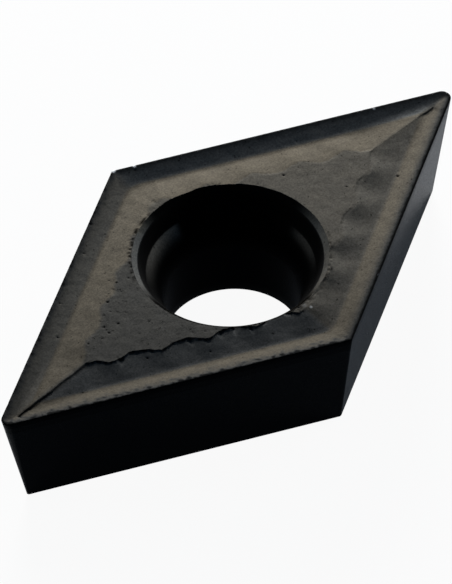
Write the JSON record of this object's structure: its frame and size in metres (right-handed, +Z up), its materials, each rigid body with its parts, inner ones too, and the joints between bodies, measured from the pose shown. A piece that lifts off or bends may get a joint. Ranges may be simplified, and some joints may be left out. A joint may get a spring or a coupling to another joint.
{
  "type": "carbide insert",
  "caption": "Rhombic indexable turning insert of coated carbide, single sided, with relieved flanks, a pressed scalloped chip groove and a countersunk screw hole.",
  "frame": {"origin": "on the screw hole's axis, in the bottom seating face", "axes": "+Z up through the chip-breaker face, X along the long diagonal through the two cutting noses, Y along the short diagonal"},
  "size_m": [0.02, 0.0108, 0.004],
  "materials": {
    "coated_carbide": "fine matte vapour-deposited coating, brown black"
  },
  "bodies": {
    "root": {"insert_body": "coated_carbide"}
  },
  "joints": []
}
